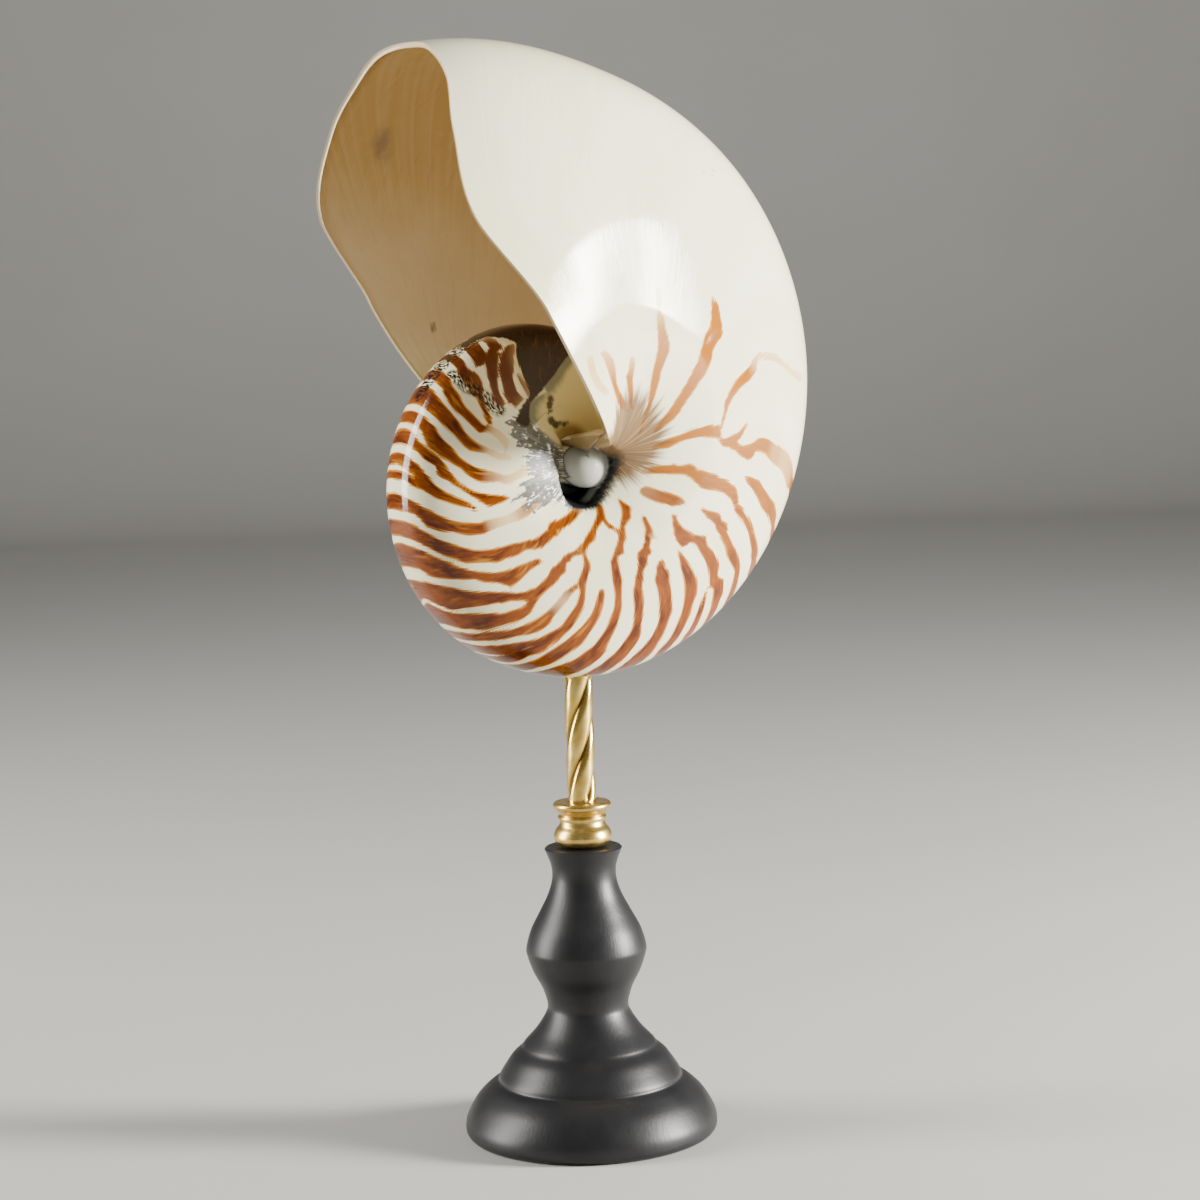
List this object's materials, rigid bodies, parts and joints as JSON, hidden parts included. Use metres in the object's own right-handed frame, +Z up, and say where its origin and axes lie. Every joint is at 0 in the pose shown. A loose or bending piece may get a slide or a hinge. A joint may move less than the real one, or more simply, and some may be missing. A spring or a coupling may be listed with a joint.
{
  "type": "whole nautilus shell on a stand",
  "caption": "Whole coiled nautilus shell with an open body chamber, held up by a twisted brass stem and collar on a turned black wooden base.",
  "frame": {"origin": "centre of the flat underside of the base", "axes": "+Z up along the base, the collar and the stem; the shell's plane of symmetry is close to the XZ plane and its aperture opens toward -X"},
  "size_m": [0.1294, 0.0946, 0.3005],
  "materials": {
    "shell": "polished shell, glossy cream with red-brown flame stripes",
    "stem_brass": "polished twisted brass",
    "collar_brass": "satin turned brass",
    "base_wood": "satin black lacquer"
  },
  "bodies": {
    "root": {"shell": "shell", "stem": "stem_brass", "collar": "collar_brass", "base": "base_wood"}
  },
  "joints": []
}
